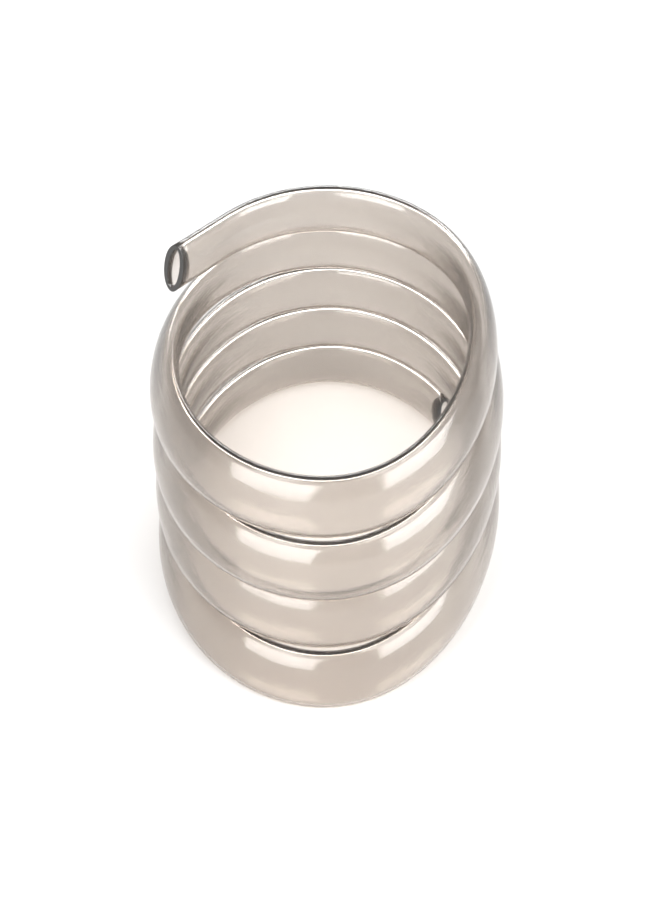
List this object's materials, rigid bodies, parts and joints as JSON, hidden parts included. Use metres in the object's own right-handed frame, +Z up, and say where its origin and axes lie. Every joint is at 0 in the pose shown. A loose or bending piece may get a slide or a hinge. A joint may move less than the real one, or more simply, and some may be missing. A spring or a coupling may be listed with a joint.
{
  "type": "coiled plastic tubing",
  "caption": "Free-standing coil of smoke-tinted flexible plastic tubing, oval-pressed turns resting on each other, both ends cut square and open",
  "frame": {"origin": "on the floor under the middle of the coil's box", "axes": "+Z up along the coil's axis, -Y towards the front, which the upper cut end faces, +X to the right"},
  "size_m": [0.1086, 0.1424, 0.1103],
  "materials": {
    "smoke_tube": "smooth glossy translucent smoke-tinted plastic, darker where turns meet and at the cut edges"
  },
  "bodies": {
    "root": {"upper_end": "smoke_tube", "turn_1": "smoke_tube", "turn_2": "smoke_tube", "turn_3": "smoke_tube", "turn_4": "smoke_tube", "lower_end": "smoke_tube"}
  },
  "joints": []
}
